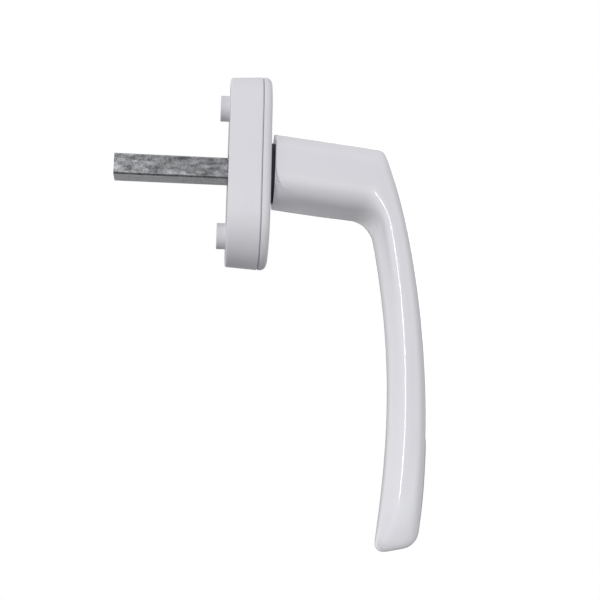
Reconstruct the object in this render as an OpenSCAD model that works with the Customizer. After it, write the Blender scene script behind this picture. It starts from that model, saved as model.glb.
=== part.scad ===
// Tilt-and-turn window handle: a cranked lever on an oval rosette, with a square
// spindle. The origin is the centre of the rosette's mounting face, on the spindle
// axis. +Z is up, the spindle points along +Y into the sash, and the lever hangs
// down at rest. Each module is drawn in the wall frame, where x is across, y is up
// and z is the distance out from the mounting face, and from_wall() turns it.

/* [Rosette] */
// Width of the rosette
rosette_w = 31; // [29:0.5:40]
// Height of the rosette
rosette_h = 63; // [62:0.5:80]
// Thickness of the base, from the mounting face to the seam
base_t = 10.3; // [10:0.1:14]
// Draft of the base on each side, narrower at the mounting face
base_draft = 0.6; // [0:0.1:1]
// Wall around the base
base_wall = 2.2; // [1.8:0.1:3]
// Front wall of the base, under the cover
base_front = 2.5; // [2.2:0.1:4]
// Chamfer around the base's edges
base_chamfer = 0.4; // [0.2:0.1:0.8]
// Thickness of the cover
cover_t = 2.7; // [2.4:0.1:4]
// Radius of the cover's front edge
cover_round = 2.1; // [1:0.1:2.3]
// Wall of the cover
cover_wall = 1.3; // [1:0.1:1.6]
// Thickness of the steel back plate
plate_t = 1.8; // [1.2:0.1:2]

/* [Fixing] */
// Distance between the two fixing screws
screw_spacing = 43; // [40:1:45]
// Clearance hole for an M5 screw
screw_hole_d = 5.3; // [5.2:0.1:5.8]
// Counterbore for the screw's head
head_d = 9.6; // [9:0.1:10.4]
// Depth of the counterbore
head_depth = 3.2; // [2.5:0.1:4]
// Diameter of the locating lugs
lug_d = 8.2; // [8:0.1:10]
// Length of the locating lugs
lug_len = 2.9; // [2:0.1:5]

/* [Spindle] */
// Side of the square spindle
spindle_side = 7; // [6:0.5:7.5]
// Length of the spindle past the mounting face
spindle_out = 35.7; // [20:0.5:60]
// Length of the spindle inside the handle
spindle_in = 31; // [24:0.5:34]
// Chamfer along the spindle's edges
spindle_chamfer = 0.45; // [0.2:0.05:0.8]
// Diameter of the cross pin
pin_d = 2.5; // [2:0.1:3]
// Distance of the cross pin from the mounting face
pin_at = 24; // [21:0.5:27]

/* [Bearing and detent] */
// Diameter of the hub's journal
journal_d = 12; // [11.5:0.1:13]
// Wall of the bearing bush
bush_wall = 1.6; // [1.2:0.1:2]
// Lip of the bush's flange, which holds the cover
bush_lip = 1.95; // [0.5:0.05:2.4]
// Thickness of the bush's flange
flange_t = 1; // [0.8:0.1:1.5]
// Diameter of the hub's shank, pressed into the lever
shank_d = 14; // [13.5:0.1:15]
// Length of the shank
shank_len = 18; // [16:0.5:20]
// Distance across the flats of the hub's drive
drive_flats = 10; // [9.6:0.1:10.6]
// Distance across the flats of the detent cam
cam_flats = 17; // [16:0.1:17.4]
// Diameter over the cam's rounded corners
cam_corners = 20.4; // [19:0.1:21]
// Thickness of the detent cam
cam_t = 2.9; // [2:0.1:3]
// Thickness of the circlip
clip_t = 1; // [0.8:0.1:1.1]
// Radial width of the circlip
clip_w = 1.9; // [1.4:0.1:2.2]
// Thickness of the wave washer's sheet
wave_sheet = 0.3; // [0.2:0.05:0.4]
// Thickness of a detent leaf spring
leaf_t = 0.4; // [0.3:0.05:0.5]
// Width of a detent leaf spring
leaf_w = 2.8; // [2:0.1:3]
// Length of a detent leaf spring
leaf_len = 26; // [24:0.5:27]

/* [Lever] */
// Diameter of the neck's round root, where it meets the rosette
root_d = 23.8; // [21:0.1:25]
// Height of the neck above the axis at its root
neck_top = 11.45; // [11:0.05:14]
// Depth of the neck below the axis at its root
neck_bottom = 10.6; // [10.4:0.1:14]
// Fall of the neck's top line
neck_top_fall = 6.3; // [0:0.1:10]
// Fall of the neck's bottom line
neck_bottom_fall = 6.2; // [0:0.1:10]
// How far the neck's rim bows away from the rosette at the top
rim_bow_top = 1.8; // [0:0.1:3]
// How far the neck's rim bows away from the rosette at the bottom
rim_bow_bottom = 6.7; // [0:0.1:8]
// Width of the neck, across the lever
neck_w = 25; // [24.5:0.1:28]
// Width of the grip at its waist
grip_w = 20.8; // [18:0.1:26]
// Width of the grip near its tip
tip_w = 21; // [18:0.1:26]
// Furthest reach of the grip's outer face
grip_reach = 62.3; // [55:0.1:80]
// Depth below the axis of that furthest point
reach_drop = 74.8; // [60:0.1:90]
// Radius of the outer face, seen from the side
outer_r = 287; // [200:1:400]
// Radius of the elbow's outer face, between the corner and the grip
elbow_r = 178; // [60:1:200]
// Depth below the axis where the elbow's outer face runs into the grip's
elbow_drop = 17; // [12:0.5:30]
// Thickness of the grip at its waist
grip_t = 11; // [10:0.1:14]
// Depth below the axis of the waist on the inner face
waist_drop = 67.6; // [60:0.1:90]
// Radius of the inner face, seen from the side
inner_r = 272; // [200:1:400]
// Radius of the crank's outer corner
corner_r = 3.3; // [3:0.1:8]
// Radius of the crank's inner fillet
fillet_r = 7.2; // [6:0.1:12]
// Depth of the tip below the axis, on the window side
lever_drop = 118; // [100:0.1:150]
// How much shorter the tip is on its outer side
tip_slant = 2.4; // [0:0.1:4]
// Rounding of the tip, seen from the side
tip_round = 3.7; // [1:0.1:4.5]
// Length over which the tip narrows, seen from the front
tip_len = 18; // [8:0.5:24]
// Width left at the tip's end
tip_end_w = 3; // [2:0.1:12]

/* [Clearances] */
// Seam between the base and the cover
seam = 0.12; // [0.1:0.01:0.3]
// Running clearance of the journal in the bush, on the radius
running = 0.05; // [0.03:0.01:0.1]
// Clearance around fixed inner pieces, on each side
seat = 0.05; // [0.03:0.01:0.1]
// Clearance between faces that turn past each other
turning = 0.15; // [0.1:0.01:0.25]
// Clearance around the cover's bore and stop pegs, on the radius
cover_play = 0.1; // [0.08:0.01:0.2]

/* [Hidden] */

white_paint = [0.88, 0.88, 0.90];
white_plastic = [0.86, 0.86, 0.88];
dark_nylon = [0.20, 0.20, 0.22];
zinc_plate = [0.62, 0.62, 0.64];
zinc_cast = [0.55, 0.56, 0.58];
spring_steel = [0.45, 0.46, 0.50];

round_fn = 64;          // circles come out as true arcs
cut = 0.5;              // how far a cutter runs past the face it opens

// Rosette
oval_span = rosette_h - rosette_w;
front_r = rosette_w / 2;
back_r = front_r - base_draft;
cavity_r = back_r - base_wall;
plate_ledge = 0.8;
recess_r = cavity_r + plate_ledge;
base_inner = base_t - base_front;

// Levels out from the mounting face
cover_back = base_t + seam;
cover_front = cover_back + cover_t;
flange_back = cover_front + turning;
flange_front = flange_back + flange_t;
root_z = flange_front + turning;

// Bush
journal_r = journal_d / 2;
bush_bore_r = journal_r + running;
bush_r = bush_bore_r + bush_wall;
flange_r = bush_r + bush_lip;
bush_back = base_inner + turning;
cover_bore_r = bush_r + cover_play;
base_bore_r = bush_r + seat;

// Hub, with the circlip, the cam and the washer stacked on its inner end
hub_inset = 0.5;
hub_end = plate_t + hub_inset;
groove_land = 0.5;
groove_back = hub_end + groove_land;
groove_w = clip_t + 2 * seat;
clip_bite = 0.3;
groove_r = journal_r - clip_bite;
clip_in_r = groove_r + seat;
clip_opening = 40;
clip_eye_r = 1.3;
clip_back = groove_back + seat;
cam_back = groove_back + groove_w + seat;
cam_front = cam_back + cam_t;
shank_inset = 0.2;
shank_back = root_z + shank_inset;
shank_front = shank_back + shank_len;
spindle_hole = spindle_side + 2 * seat;
pin_inset = 0.5;

// Wave washer, between the cam and the base's front wall
wave_mid = (cam_front + base_inner) / 2;
wave_rise = (base_inner - cam_front - wave_sheet) / 2 - seat;
wave_in_r = journal_r + clip_bite;
wave_width = 2.8;
wave_out_r = wave_in_r + wave_width;
waves = 3;
wave_steps = 48;

// Leaf springs and their posts
leaf_x = cam_flats / 2 + seat;
leaf_back = cam_back + seat;
post_w = 3.2;
post_len = 3;
post_gap = 0.5;
post_y = cam_corners / 2 + post_gap;

// Stop pegs of the cover, and their grooves in the base
peg_r = 1;
peg_space = 3.6;
peg_at = bush_r + peg_space;
peg_drop = 0.9;
peg_floor = 0.3;
groove_depth = peg_drop + peg_floor;
ring_wall = 1.6;
hub_ring_r = cover_bore_r + ring_wall;
boss_wall = 1;
boss_r = head_d / 2 + boss_wall;
turn_range = 90;

// Squareness of the lever's section: 2 is an ellipse, and more is squarer
neck_square = 2.8;
grip_square = 2.8;

// Shares of the lever's length and turn at which its parts meet
corner_turn = 0.3;
elbow_taper = 0.35;
bow_rings = 4;
rim_edge = 0.2;

// Lever outline in the plane of symmetry, as [reach, height]
outer_centre = [grip_reach - outer_r, -reach_drop];
inner_centre = [grip_reach - grip_t - inner_r, -waist_drop];
neck_stations = 7;
corner_stations = 6;
elbow_stations = 8;
grip_stations = 20;
tip_stations = 14;
sides = 48;

// Turns the wall frame into the part's own frame
module from_wall() {
    rotate([90, 0, 0]) children();
}

// Solid with an oval plan: its outline is swept round both ends and along both sides
module oval(span) {
    for (end = [0, 180])
        rotate([0, 0, end])
            translate([0, span / 2, 0])
                rotate_extrude(angle = 180, $fn = round_fn) children();
    rotate([90, 0, 0])
        linear_extrude(span, center = true) {
            children();
            mirror([1, 0]) children();
        }
}

// Plain outline for oval(): radius r from height z0 to z1
module band(r, z0, z1) {
    translate([0, z0]) square([r, z1 - z0]);
}

// Round bar or bore along the axis from z0 to z1
module bar(r, z0, z1) {
    translate([0, 0, z0]) cylinder(r = r, h = z1 - z0, $fn = round_fn);
}

// Round bar between two flats that face left and right
module flatted_bar(r, flats, z0, z1) {
    intersection() {
        bar(r, z0, z1);
        translate([-flats / 2, -r, z0]) cube([flats, 2 * r, z1 - z0]);
    }
}

// Puts a shape at both fixing screws
module at_screws() {
    for (side = [-1, 1])
        translate([0, side * screw_spacing / 2, 0]) children();
}

// Outline of the base, with draft and chamfered edges
module base_outline() {
    polygon([
        [0, 0],
        [back_r - base_chamfer, 0],
        [back_r, base_chamfer],
        [front_r, base_t - base_chamfer],
        [front_r - base_chamfer, base_t],
        [0, base_t]
    ]);
}

// Post that holds one end of a leaf spring, with its slot
module spring_post() {
    slot = leaf_t + 2 * seat;
    difference() {
        translate([leaf_x + leaf_t / 2 - post_w / 2, post_y, leaf_back - seat])
            cube([post_w, post_len, base_inner - leaf_back + 2 * seat]);
        translate([leaf_x - seat, post_y - cut, leaf_back - seat - cut])
            cube([slot, leaf_len / 2 - post_y + cut + seat, leaf_w + 2 * seat + cut]);
    }
}

// Arc groove for a stop peg, from the peg's rest to the end of its turn
module peg_groove() {
    r = peg_r + cover_play;
    z0 = base_t - groove_depth;
    rotate_extrude(angle = turn_range, $fn = round_fn)
        translate([peg_at - r, z0]) square([2 * r, groove_depth + cut]);
    for (a = [0, turn_range])
        rotate([0, 0, a])
            translate([peg_at, 0, 0]) bar(r, z0, base_t + cut);
}

module base() {
    color(white_plastic) from_wall()
        difference() {
            union() {
                difference() {
                    oval(oval_span) base_outline();
                    oval(oval_span) band(recess_r, -cut, plate_t);
                    oval(oval_span) band(cavity_r, plate_t - cut, base_inner);
                }
                at_screws() bar(boss_r, 0, base_inner + cut);
                at_screws() bar(lug_d / 2, -lug_len, cut);
                for (a = [0, 180])
                    rotate([0, 0, a]) {
                        spring_post();
                        mirror([0, 1, 0]) spring_post();
                    }
            }
            bar(base_bore_r, base_inner - cut, base_t + cut);
            at_screws() bar(screw_hole_d / 2, -lug_len - cut, base_t + cut);
            at_screws() bar(head_d / 2, base_t - head_depth, base_t + cut);
            for (a = [0, 180])
                rotate([0, 0, a]) peg_groove();
        }
}

module back_plate() {
    color(zinc_plate) from_wall()
        difference() {
            oval(oval_span) band(recess_r - seat, 0, plate_t - seat);
            bar(journal_r, -cut, plate_t + cut);
            at_screws() bar(boss_r + seat, -cut, plate_t + cut);
        }
}

// Outline of the cover, rounded along its front edge
module cover_outline() {
    band(front_r - cover_round, cover_back, cover_front);
    band(front_r, cover_back, cover_front - cover_round);
    translate([front_r - cover_round, cover_front - cover_round])
        intersection() {
            circle(cover_round, $fn = round_fn);
            square(cover_round);
        }
}

module cover() {
    color(white_plastic) from_wall()
        difference() {
            union() {
                difference() {
                    oval(oval_span) cover_outline();
                    oval(oval_span)
                        band(front_r - cover_wall, cover_back - cut, cover_front - cover_wall);
                }
                bar(hub_ring_r, cover_back, cover_front - cut);
                for (a = [0, 180])
                    rotate([0, 0, a])
                        translate([peg_at, 0, 0]) bar(peg_r, base_t - peg_drop, cover_front - cut);
            }
            bar(cover_bore_r, cover_back - cut, cover_front + cut);
        }
}

module bearing_bush() {
    color(dark_nylon) from_wall()
        difference() {
            union() {
                bar(bush_r, bush_back, flange_front);
                bar(flange_r, flange_back, flange_front);
            }
            bar(bush_bore_r, bush_back - cut, flange_front + cut);
        }
}

// Square prism with chamfered edges along the axis
module square_bar(side, chamfer, z0, z1) {
    h = side / 2;
    c = h - chamfer;
    translate([0, 0, z0])
        linear_extrude(z1 - z0)
            polygon([[h, c], [c, h], [-c, h], [-h, c], [-h, -c], [-c, -h], [c, -h], [h, -c]]);
}

// Cross hole or pin through the hub and the spindle
module cross_bar(r, length) {
    translate([-length / 2, 0, pin_at])
        rotate([0, 90, 0]) cylinder(r = r, h = length, $fn = round_fn);
}

module spindle() {
    color(zinc_plate) from_wall()
        difference() {
            square_bar(spindle_side, spindle_chamfer, -spindle_out, spindle_in);
            cross_bar(pin_d / 2 + seat, spindle_side + 2 * cut);
        }
}

module spindle_pin() {
    color(spring_steel) from_wall()
        cross_bar(pin_d / 2, shank_d - 2 * pin_inset);
}

module drive_hub() {
    color(zinc_cast) from_wall()
        difference() {
            union() {
                flatted_bar(journal_r, drive_flats, groove_back + groove_w, cam_front + seat);
                bar(groove_r, hub_end, groove_back + groove_w);
                bar(journal_r, hub_end, groove_back);
                bar(journal_r, cam_front + seat, shank_back + cut);
                bar(shank_d / 2 - seat, shank_back, shank_front);
            }
            square_bar(spindle_hole, spindle_chamfer, hub_end - cut, shank_front + cut);
            cross_bar(pin_d / 2 + seat, shank_d + 2 * cut);
        }
}

module detent_cam() {
    color(zinc_cast) from_wall()
        difference() {
            intersection() {
                bar(cam_corners / 2, cam_back, cam_front);
                translate([-cam_flats / 2, -cam_flats / 2, cam_back])
                    cube([cam_flats, cam_flats, cam_t]);
            }
            flatted_bar(journal_r + seat, drive_flats + 2 * seat, cam_back - cut, cam_front + cut);
        }
}

// Open ring with an eye at each end
module circlip() {
    clip_front = clip_back + clip_t;
    eye_at = clip_in_r + clip_w / 2;
    color(spring_steel) from_wall()
        difference() {
            union() {
                rotate([0, 0, (clip_opening - 180) / 2])
                    rotate_extrude(angle = 360 - clip_opening, $fn = round_fn)
                        translate([groove_r - cut, clip_back]) square([clip_w + cut + seat, clip_t]);
                for (side = [-1, 1])
                    rotate([0, 0, (side * clip_opening - 180) / 2])
                        translate([eye_at, 0, 0]) bar(clip_eye_r, clip_back, clip_front);
            }
            for (side = [-1, 1])
                rotate([0, 0, (side * clip_opening - 180) / 2])
                    translate([eye_at, 0, 0]) bar(clip_eye_r / 2, clip_back - cut, clip_front + cut);
            bar(clip_in_r, clip_back - cut, clip_front + cut);
        }
}

// Thin ring whose height follows a few waves round the axis
module wave_washer() {
    step = 360 / wave_steps;
    corner = [[wave_in_r, -1], [wave_out_r, -1], [wave_out_r, 1], [wave_in_r, 1]];
    points = [for (i = [0 : wave_steps - 1], c = corner)
        [c[0] * cos(i * step), c[0] * sin(i * step),
         wave_mid + wave_rise * sin(waves * i * step) + c[1] * wave_sheet / 2]];
    faces = [for (i = [0 : wave_steps - 1], k = [0 : 3])
        let (j = (i + 1) % wave_steps, m = (k + 1) % 4)
        for (face = [[4 * i + k, 4 * j + k, 4 * j + m], [4 * i + k, 4 * j + m, 4 * i + m]]) face];
    color(spring_steel) from_wall() polyhedron(points, faces);
}

// Leaf spring that bears on one flat of the cam
module leaf_spring() {
    translate([leaf_x, -leaf_len / 2, leaf_back]) cube([leaf_t, leaf_len, leaf_w]);
}

module detent_spring_left() {
    color(spring_steel) from_wall() rotate([0, 0, 180]) leaf_spring();
}

module detent_spring_right() {
    color(spring_steel) from_wall() leaf_spring();
}

function unit(v) = v / norm(v);
function mix(a, b, t) = a + (b - a) * t;
function smooth(t) = t * t * (3 - 2 * t);
function heading(v) = atan2(v[1], v[0]);
function on_circle(centre, r, a) = centre + r * [cos(a), sin(a)];

// Centre of the arc of radius r that is tangent to a line, on the side that away
// points to, and to the inside of a large circle
function blend_centre(start, along, away, r, centre, big_r) =
    let (p = start + r * away - centre, b = p * along, c = p * p - pow(big_r - r, 2))
    start + r * away + (sqrt(b * b - c) - b) * along;

// Top line, outer corner, elbow and outer face
top_start = [root_z, neck_top];
top_along = [cos(neck_top_fall), -sin(neck_top_fall)];
top_away = [-sin(neck_top_fall), -cos(neck_top_fall)];
elbow_to = asin((reach_drop - elbow_drop) / outer_r);
elbow_centre = on_circle(outer_centre, outer_r - elbow_r, elbow_to);
corner_centre = blend_centre(top_start, top_along, top_away, corner_r, elbow_centre, elbow_r);
corner_from = heading(-top_away);
corner_to = heading(corner_centre - elbow_centre);
outer_to = asin((reach_drop - lever_drop + tip_slant) / outer_r);

// Bottom line, inner fillet and inner face
bottom_start = [root_z, -neck_bottom];
bottom_along = [cos(neck_bottom_fall), -sin(neck_bottom_fall)];
neck_along = (top_along + bottom_along) / norm(top_along + bottom_along);
bottom_away = [-sin(neck_bottom_fall), -cos(neck_bottom_fall)];
fillet_centre = blend_centre(bottom_start, bottom_along, bottom_away, fillet_r, inner_centre, inner_r);
fillet_from = heading(-bottom_away);
fillet_to = heading(fillet_centre - inner_centre);
inner_to = asin((waist_drop - lever_drop) / inner_r);

// One station of the lever: inner point, outer point, half width, squareness
root_mid = (neck_top - neck_bottom) / 2;
root_station = [[root_z, root_mid - root_d / 2], [root_z, root_mid + root_d / 2], root_d / 2, 2];
function neck_station(t) =
    [mix(bottom_start + rim_edge * bottom_along, fillet_centre - fillet_r * bottom_away, t),
     mix(top_start + rim_edge * top_along, corner_centre - corner_r * top_away, t),
     neck_w / 2, neck_square];
function corner_station(t) =
    [on_circle(fillet_centre, fillet_r, mix(fillet_from, fillet_to, corner_turn * t)),
     on_circle(corner_centre, corner_r, mix(corner_from, corner_to, t)),
     neck_w / 2, neck_square];
function elbow_station(t) =
    [on_circle(fillet_centre, fillet_r, mix(fillet_from, fillet_to, mix(corner_turn, 1, t))),
     on_circle(elbow_centre, elbow_r, mix(corner_to, elbow_to, t)),
     mix(neck_w, grip_w, elbow_taper * smooth(t)) / 2, mix(neck_square, grip_square, t)];
function grip_station(t) =
    [on_circle(inner_centre, inner_r, mix(fillet_to, inner_to, t)),
     on_circle(outer_centre, outer_r, mix(elbow_to, outer_to, t)),
     t < 0.5 ? mix(mix(neck_w, grip_w, elbow_taper), grip_w, smooth(2 * t)) / 2
             : mix(grip_w, tip_w, smooth(2 * t - 1)) / 2,
     grip_square];
// The tip runs on along the grip, narrows to its end as a half oval and closes in a
// quarter round
function tip_station(t) =
    let (s = grip_station(mix(grip_end, 1, sin(90 * t))), across = unit(s[1] - s[0]),
         share = max(0, 1 - tip_len * (1 - sin(90 * t)) / tip_round),
         inset = tip_round * (1 - sqrt(1 - share * share)))
    [s[0] + across * inset, s[1] - across * inset, mix(tip_end_w / 2, s[2], cos(90 * t)), s[3]];

// Share of the grip's turn at which the tip begins to narrow
grip_end = 1 - tip_len / (lever_drop + fillet_centre[1]);
stations = concat(
    [for (i = [0 : neck_stations - 1]) neck_station(i / neck_stations)],
    [for (i = [0 : corner_stations - 1]) corner_station(i / corner_stations)],
    [for (i = [0 : elbow_stations - 1]) elbow_station(i / elbow_stations)],
    [for (i = [0 : grip_stations - 1]) grip_station(grip_end * i / grip_stations)],
    [for (i = [0 : tip_stations]) tip_station(i / tip_stations)]);

function rounded(v, n) = sign(v) * pow(abs(v), 2 / n);

// How far a point of the rim bows forward; c and v are its shares across and up
function rim_bow(c, v) =
    v > 0 ? rim_bow_top * pow(1 - c * c, 3) : rim_bow_bottom * (1 - c * c);

// Ring of points round one station, bowed by a share of the rim's bow
function station_ring(s, share) =
    let (mid = (s[0] + s[1]) / 2, half = (s[1] - s[0]) / 2)
    [for (k = [0 : sides - 1])
        let (a = 360 * k / sides, c = rounded(cos(a), s[3]), v = rounded(sin(a), s[3]),
             p = mid + half * v + share * rim_bow(c, v) * neck_along)
        [s[2] * c, p[1], p[0]]];

module lever_body() {
    rings = concat([station_ring(root_station, 0)],
        [for (i = [0 : len(stations) - 1]) station_ring(stations[i], max(0, 1 - i / bow_rings))]);
    last = len(rings) - 1;
    points = concat([for (ring = rings) each ring], [[0, root_mid, root_z]]);
    side_faces = [for (i = [0 : last - 1], k = [0 : sides - 1])
        let (m = (k + 1) % sides, a = i * sides, b = a + sides)
        for (face = [[a + k, b + k, b + m], [a + k, b + m, a + m]]) face];
    start_faces = [for (k = [0 : sides - 1]) [len(points) - 1, k, (k + 1) % sides]];
    end_face = [[for (k = [0 : sides - 1]) last * sides + sides - 1 - k]];
    polyhedron(points, concat(side_faces, start_faces, end_face));
}

module lever() {
    color(white_paint) from_wall()
        difference() {
            lever_body();
            bar(shank_d / 2, root_z - cut, shank_front + 2 * seat);
            bar(max(shank_d / 2, journal_r + seat), root_z - cut, shank_back + cut + seat);
        }
}

lever();
drive_hub();
spindle();
spindle_pin();
detent_cam();
circlip();
base();
back_plate();
cover();
bearing_bush();
wave_washer();
detent_spring_left();
detent_spring_right();
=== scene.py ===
import math

import bpy
from mathutils import Matrix, Vector


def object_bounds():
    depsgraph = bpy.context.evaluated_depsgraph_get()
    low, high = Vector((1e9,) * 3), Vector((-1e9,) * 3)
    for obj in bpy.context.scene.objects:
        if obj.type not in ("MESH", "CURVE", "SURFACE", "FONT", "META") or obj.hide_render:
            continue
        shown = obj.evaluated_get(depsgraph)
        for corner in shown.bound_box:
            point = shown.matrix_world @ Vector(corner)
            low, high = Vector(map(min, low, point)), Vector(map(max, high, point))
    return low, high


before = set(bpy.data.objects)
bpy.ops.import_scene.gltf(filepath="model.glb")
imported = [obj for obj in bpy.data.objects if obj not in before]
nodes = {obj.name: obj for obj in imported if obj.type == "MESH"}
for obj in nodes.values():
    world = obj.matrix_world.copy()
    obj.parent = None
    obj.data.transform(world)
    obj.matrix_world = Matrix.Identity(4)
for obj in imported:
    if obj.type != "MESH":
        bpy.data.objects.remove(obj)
cad_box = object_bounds()
scene = bpy.context.scene

# All lengths are in metres.

# shading of the faceted solids
FACETED = ("lever", "wave_washer")
SMOOTH_BELOW = math.radians(21.0)
SAME_CORNER = 2e-6

# floor
FLOOR_HALF = 20.0
FLOOR_DROP = 0.25

# studio: how bright the light is, from below to above along a slightly tilted axis
SKY_AXIS = (-0.35, 0.0, 0.94)
SKY = [(0.0, 0.06), (0.2, 0.16), (0.32, 0.6), (0.44, 1.0), (0.5, 1.05), (0.7, 1.02), (1.0, 0.62)]
SKY_TINT = (0.985, 0.985, 1.0, 1.0)
# towards -Y the light falls to this share
FRONT_FROM, FRONT_TO, FRONT_SHARE = -0.7, -1.0, 0.2
# dim cones: direction, cosines of the outer edge and of the core, share left in the core
DIM_CONES = (
    ((-1.0, 0.03, 0.37), 0.86, 0.95, 0.28),
    ((1.0, -0.35, 0.37), 0.8, 0.95, 0.2),
)
# soft glow from low on the far side: direction, cosines of the edge and of the core, strength
GLOW_AXIS, GLOW_EDGE, GLOW_CORE, GLOW_STRENGTH = (0.9, 0.3, -0.34), 0.86, 0.97, 0.5

# lamps
GRIP_MIDDLE = (0, -0.03, -0.03)
TIP = (0, -0.056, -0.116)
BOUNCE_SPREAD = math.radians(30.0)

# camera
CAMERA_PLACE = (-0.35636, 0.00565, -0.13428)
YAW, PITCH, ROLL = math.radians(4.706), math.radians(14.588), math.radians(0.918)
LENS = 71.35
SENSOR = 36.0


# ---------------------------------------------------------------- materials

class Graph:
    """Small helper that adds and links the nodes of one node tree."""

    def __init__(self, tree):
        self.tree = tree

    def add(self, kind, **inputs):
        node = self.tree.nodes.new(kind)
        for name, value in inputs.items():
            self.put(node, name, value)
        return node

    def put(self, node, key, value):
        """Link a socket, or set a constant; key is the input's name or number."""
        if isinstance(value, bpy.types.NodeSocket):
            self.tree.links.new(value, node.inputs[key])
        else:
            node.inputs[key].default_value = value

    def noise(self, place, scale, detail=3.0, rough=0.5):
        node = self.add("ShaderNodeTexNoise", Scale=scale, Detail=detail, Roughness=rough,
                        Vector=place)
        return node.outputs["Fac"]

    def stretched(self, place, scale):
        """The place with its axes scaled, for noise drawn out along the smallest one."""
        return self.add("ShaderNodeMapping", Vector=place, Scale=scale).outputs[0]

    def ramp(self, value, stops):
        node = self.add("ShaderNodeValToRGB", Fac=value)
        band = node.color_ramp
        for element, (at, colour) in zip(band.elements, (stops[0], stops[-1])):
            element.position, element.color = at, rgba(colour)
        for at, colour in stops[1:-1]:
            band.elements.new(at).color = rgba(colour)
        return node.outputs["Color"]

    def math(self, kind, a, b):
        node = self.tree.nodes.new("ShaderNodeMath")
        node.operation = kind
        self.put(node, 0, a)
        self.put(node, 1, b)
        return node.outputs[0]

    def between(self, value, low, high, to_low, to_high):
        node = self.add("ShaderNodeMapRange", Value=value)
        self.put(node, "From Min", low)
        self.put(node, "From Max", high)
        self.put(node, "To Min", to_low)
        self.put(node, "To Max", to_high)
        return node.outputs["Result"]

    def multiplied(self, share, a, b):
        """Colour a, darkened by colour b to the given share."""
        node = self.tree.nodes.new("ShaderNodeMix")
        node.data_type = "RGBA"
        node.blend_type = "MULTIPLY"
        self.put(node, 0, share)
        self.put(node, 6, a)
        self.put(node, 7, b)
        return node.outputs[2]

    def bump(self, height, strength, distance):
        node = self.add("ShaderNodeBump", Height=height, Strength=strength, Distance=distance)
        return node.outputs["Normal"]


def rgba(colour):
    """Four numbers from one grey level or from three colour levels."""
    if isinstance(colour, (int, float)):
        return (colour, colour, colour, 1.0)
    return (*colour, 1.0)


def new_material(name, **constants):
    """A material with a Principled shader; constants are set on the shader's own sockets."""
    material = bpy.data.materials.new(name)
    material.use_nodes = True
    material.node_tree.nodes.clear()
    g = Graph(material.node_tree)
    shader = g.add("ShaderNodeBsdfPrincipled")
    out = g.add("ShaderNodeOutputMaterial")
    g.tree.links.new(shader.outputs[0], out.inputs["Surface"])
    for key, value in constants.items():
        shader.inputs[key.replace("_", " ")].default_value = value
    place = g.add("ShaderNodeTexCoord").outputs["Object"]
    return material, g, shader, place


def white_powder_coat():
    """Glossy white powder coat: orange peel, a faint drift of tone, a few fine rubs."""
    material, g, shader, place = new_material(
        "white_powder_coat", Specular_IOR_Level=0.5, Coat_Weight=0.9, Coat_Roughness=0.05)
    drift = g.noise(place, 38.0, 4.0)
    tone = g.ramp(drift, [(0.3, (0.775, 0.775, 0.812)), (0.7, (0.800, 0.800, 0.836))])
    rubs = g.noise(place, 420.0, 5.0, 0.7)
    peel = g.noise(place, 480.0, 2.0)
    g.put(shader, "Base Color", tone)
    g.put(shader, "Roughness", g.between(rubs, 0.3, 0.7, 0.32, 0.44))
    g.put(shader, "Normal", g.bump(peel, 0.2, 0.00003))
    return material


def white_moulding():
    """Satin white plastic with a fine eroded grain."""
    material, g, shader, place = new_material("white_moulding", Specular_IOR_Level=0.45)
    drift = g.noise(place, 55.0, 4.0)
    tone = g.ramp(drift, [(0.3, (0.740, 0.740, 0.777)), (0.7, (0.765, 0.763, 0.800))])
    grain = g.noise(place, 2600.0, 3.0, 0.6)
    g.put(shader, "Base Color", tone)
    g.put(shader, "Roughness", g.between(grain, 0.3, 0.7, 0.36, 0.5))
    g.put(shader, "Normal", g.bump(grain, 0.3, 0.00003))
    return material


def nylon():
    """Dark grey nylon, dull, with a fine fibre grain."""
    material, g, shader, place = new_material("dark_nylon", Specular_IOR_Level=0.4)
    fibre = g.noise(place, 1500.0, 4.0, 0.6)
    tone = g.ramp(fibre, [(0.3, (0.072, 0.072, 0.082)), (0.7, (0.098, 0.098, 0.110))])
    g.put(shader, "Base Color", tone)
    g.put(shader, "Roughness", g.between(fibre, 0.3, 0.7, 0.5, 0.68))
    g.put(shader, "Normal", g.bump(fibre, 0.3, 0.00004))
    return material


def mottled_zinc():
    """Zinc-plated steel with a grainy bloom, darker specks and drawn lines along the bar."""
    material, g, shader, place = new_material("mottled_zinc", Metallic=0.85)
    bloom = g.noise(g.stretched(place, (1.0, 0.4, 1.0)), 620.0, 6.0, 0.7)
    specks = g.noise(place, 1600.0, 3.0, 0.7)
    lines = g.noise(g.stretched(place, (1.0, 0.12, 1.0)), 1500.0, 3.0, 0.6)
    tone = g.ramp(bloom, [(0.35, (0.26, 0.265, 0.275)), (0.5, (0.41, 0.415, 0.43)),
                          (0.68, (0.58, 0.585, 0.60))])
    dark = g.ramp(specks, [(0.36, (0.45, 0.45, 0.46)), (0.5, (1.0, 1.0, 1.0))])
    g.put(shader, "Base Color", g.multiplied(0.65, tone, dark))
    g.put(shader, "Roughness", g.between(bloom, 0.3, 0.7, 0.2, 0.4))
    g.put(shader, "Normal", g.bump(g.math("ADD", lines, specks), 0.5, 0.00005))
    return material


def cast_zinc():
    """Bare zinc die-casting, grey and slightly rough."""
    material, g, shader, place = new_material("cast_zinc", Metallic=0.9)
    grain = g.noise(place, 900.0, 5.0, 0.65)
    tone = g.ramp(grain, [(0.3, (0.34, 0.345, 0.36)), (0.7, (0.50, 0.505, 0.52))])
    g.put(shader, "Base Color", tone)
    g.put(shader, "Roughness", g.between(grain, 0.3, 0.7, 0.38, 0.58))
    g.put(shader, "Normal", g.bump(grain, 0.35, 0.00004))
    return material


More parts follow.
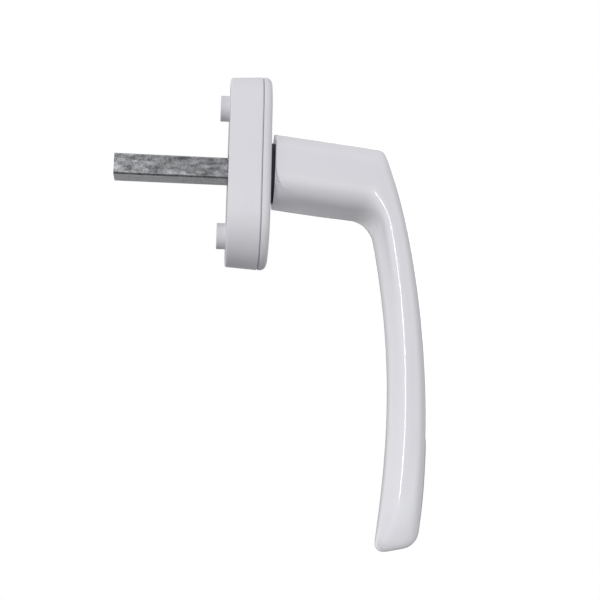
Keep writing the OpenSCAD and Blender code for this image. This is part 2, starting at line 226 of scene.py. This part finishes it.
def spring_steel():
    """Dark spring steel with rolling streaks."""
    material, g, shader, place = new_material("spring_steel", Metallic=1.0)
    streak = g.noise(g.stretched(place, (1.0, 1.0, 0.08)), 1800.0, 4.0, 0.6)
    tone = g.ramp(streak, [(0.3, (0.24, 0.25, 0.28)), (0.7, (0.38, 0.39, 0.42))])
    g.put(shader, "Base Color", tone)
    g.put(shader, "Roughness", g.between(streak, 0.3, 0.7, 0.24, 0.4))
    g.put(shader, "Normal", g.bump(streak, 0.25, 0.00003))
    return material


finishes = (
    (white_powder_coat(), ("lever",)),
    (white_moulding(), ("base", "cover")),
    (nylon(), ("bearing_bush",)),
    (mottled_zinc(), ("spindle", "back_plate")),
    (cast_zinc(), ("drive_hub", "detent_cam")),
    (spring_steel(), ("spindle_pin", "circlip", "wave_washer", "detent_spring_left",
                      "detent_spring_right")),
)
for finish, names in finishes:
    for name in names:
        slots = nodes[name].data.materials
        if not slots:
            slots.append(finish)
        for i in range(len(slots)):
            slots[i] = finish


def smooth_shading():
    """Modifier tree that merges the facets' split corners and smooths across flat edges."""
    tree = bpy.data.node_groups.new("smooth_shading", "GeometryNodeTree")
    for side in ("INPUT", "OUTPUT"):
        tree.interface.new_socket("Geometry", in_out=side, socket_type="NodeSocketGeometry")
    g = Graph(tree)
    start = tree.nodes.new("NodeGroupInput")
    bare = g.add("GeometryNodeRemoveAttribute", Geometry=start.outputs[0], Name="custom_normal")
    merged = g.add("GeometryNodeMergeByDistance", Geometry=bare.outputs[0],
                   Distance=SAME_CORNER)
    faces = g.add("GeometryNodeSetShadeSmooth", Geometry=merged.outputs[0])
    angle = tree.nodes.new("GeometryNodeInputMeshEdgeAngle")
    flat = tree.nodes.new("FunctionNodeCompare")
    flat.data_type = "FLOAT"
    flat.operation = "LESS_THAN"
    g.put(flat, 0, angle.outputs["Unsigned Angle"])
    g.put(flat, 1, SMOOTH_BELOW)
    edges = tree.nodes.new("GeometryNodeSetShadeSmooth")
    edges.domain = "EDGE"
    g.put(edges, 0, faces.outputs[0])
    g.put(edges, "Shade Smooth", flat.outputs[0])
    end = tree.nodes.new("NodeGroupOutput")
    g.put(end, 0, edges.outputs[0])
    return tree


smoothing = smooth_shading()
for name in FACETED:
    nodes[name].modifiers.new("smooth_shading", "NODES").node_group = smoothing


# ---------------------------------------------------------------- floor, light, camera

def pale_floor():
    """A level square below the object, which the object neither reflects nor is lit by."""
    z = cad_box[0].z - FLOOR_DROP
    mesh = bpy.data.meshes.new("floor")
    corners = [(-FLOOR_HALF, -FLOOR_HALF, z), (FLOOR_HALF, -FLOOR_HALF, z),
               (FLOOR_HALF, FLOOR_HALF, z), (-FLOOR_HALF, FLOOR_HALF, z)]
    mesh.from_pydata(corners, [], [(0, 1, 2, 3)])
    floor = bpy.data.objects.new("floor", mesh)
    scene.collection.objects.link(floor)
    material, g, shader, place = new_material("pale_floor", Roughness=0.7,
                                              Specular_IOR_Level=0.2)
    tone = g.ramp(g.noise(place, 3.0), [(0.3, 0.80), (0.7, 0.82)])
    g.put(shader, "Base Color", tone)
    mesh.materials.append(material)
    floor.visible_diffuse = False
    floor.visible_glossy = False


def studio():
    """White behind the object; the light itself is bright above and dim below."""
    world = bpy.data.worlds.new("studio")
    world.use_nodes = True
    world.node_tree.nodes.clear()
    g = Graph(world.node_tree)
    direction = g.add("ShaderNodeTexCoord").outputs["Generated"]
    way = g.add("ShaderNodeSeparateXYZ", Vector=direction)

    def along(axis):
        """Cosine of the angle between the direction and an axis."""
        node = g.tree.nodes.new("ShaderNodeVectorMath")
        node.operation = "DOT_PRODUCT"
        g.put(node, 0, direction)
        g.put(node, 1, Vector(axis).normalized())
        return node.outputs["Value"]

    height = g.between(along(SKY_AXIS), -1.0, 1.0, 0.0, 1.0)
    front = g.between(way.outputs["Y"], FRONT_TO, FRONT_FROM, FRONT_SHARE, 1.0)
    light = g.math("MULTIPLY", g.ramp(height, SKY), front)
    for axis, edge, core, share in DIM_CONES:
        light = g.math("MULTIPLY", light, g.between(along(axis), edge, core, 1.0, share))
    glow = g.between(along(GLOW_AXIS), GLOW_EDGE, GLOW_CORE, 0.0, GLOW_STRENGTH)
    light = g.math("ADD", light, glow)

    lit = g.add("ShaderNodeBackground", Color=SKY_TINT, Strength=light)
    seen = g.add("ShaderNodeBackground", Color=(1.0, 1.0, 1.0, 1.0), Strength=1.0)
    both = g.add("ShaderNodeMixShader")
    g.put(both, 0, g.add("ShaderNodeLightPath").outputs["Is Camera Ray"])
    g.put(both, 1, lit.outputs[0])
    g.put(both, 2, seen.outputs[0])
    out = g.add("ShaderNodeOutputWorld")
    g.put(out, "Surface", both.outputs[0])
    scene.world = world


def softbox(name, place, target, width, height, radiance):
    """Rectangular lamp; its power follows from how bright its face is to be."""
    data = bpy.data.lights.new(name, "AREA")
    data.shape = "RECTANGLE"
    data.size, data.size_y = width, height
    data.energy = radiance * math.pi * width * height
    lamp = bpy.data.objects.new(name, data)
    scene.collection.objects.link(lamp)
    lamp.location = place
    lamp.rotation_mode = "QUATERNION"
    lamp.rotation_quaternion = (Vector(target) - Vector(place)).to_track_quat("-Z", "Y")
    return lamp


def set_camera():
    """The photograph's viewpoint, below the object and looking up at it."""
    data = bpy.data.cameras.new("camera")
    data.sensor_width = SENSOR
    data.lens = LENS
    data.clip_start, data.clip_end = 0.01, 60.0
    camera = bpy.data.objects.new("camera", data)
    scene.collection.objects.link(camera)
    ahead = Vector((math.cos(PITCH) * math.cos(YAW), -math.cos(PITCH) * math.sin(YAW),
                    math.sin(PITCH)))
    level = ahead.cross(Vector((0, 0, 1))).normalized()
    upright = level.cross(ahead)
    right = level * math.cos(ROLL) + upright * math.sin(ROLL)
    up = upright * math.cos(ROLL) - level * math.sin(ROLL)
    turn = Matrix((right, up, -ahead)).transposed()
    camera.matrix_world = Matrix.Translation(CAMERA_PLACE) @ turn.to_4x4()
    scene.camera = camera


pale_floor()
studio()
softbox("key", (-1.0, 0.36, 0.14), GRIP_MIDDLE, 0.06, 0.60, 26.0)
softbox("fill", (1.0, -0.35, 0.35), GRIP_MIDDLE, 0.5, 0.6, 2.2)
bounce = softbox("bounce", (-0.01, -0.066, -0.2), TIP, 0.03, 0.03, 0.45)
bounce.data.spread = BOUNCE_SPREAD
bounce.visible_glossy = False
set_camera()
scene.view_settings.view_transform = "Standard"
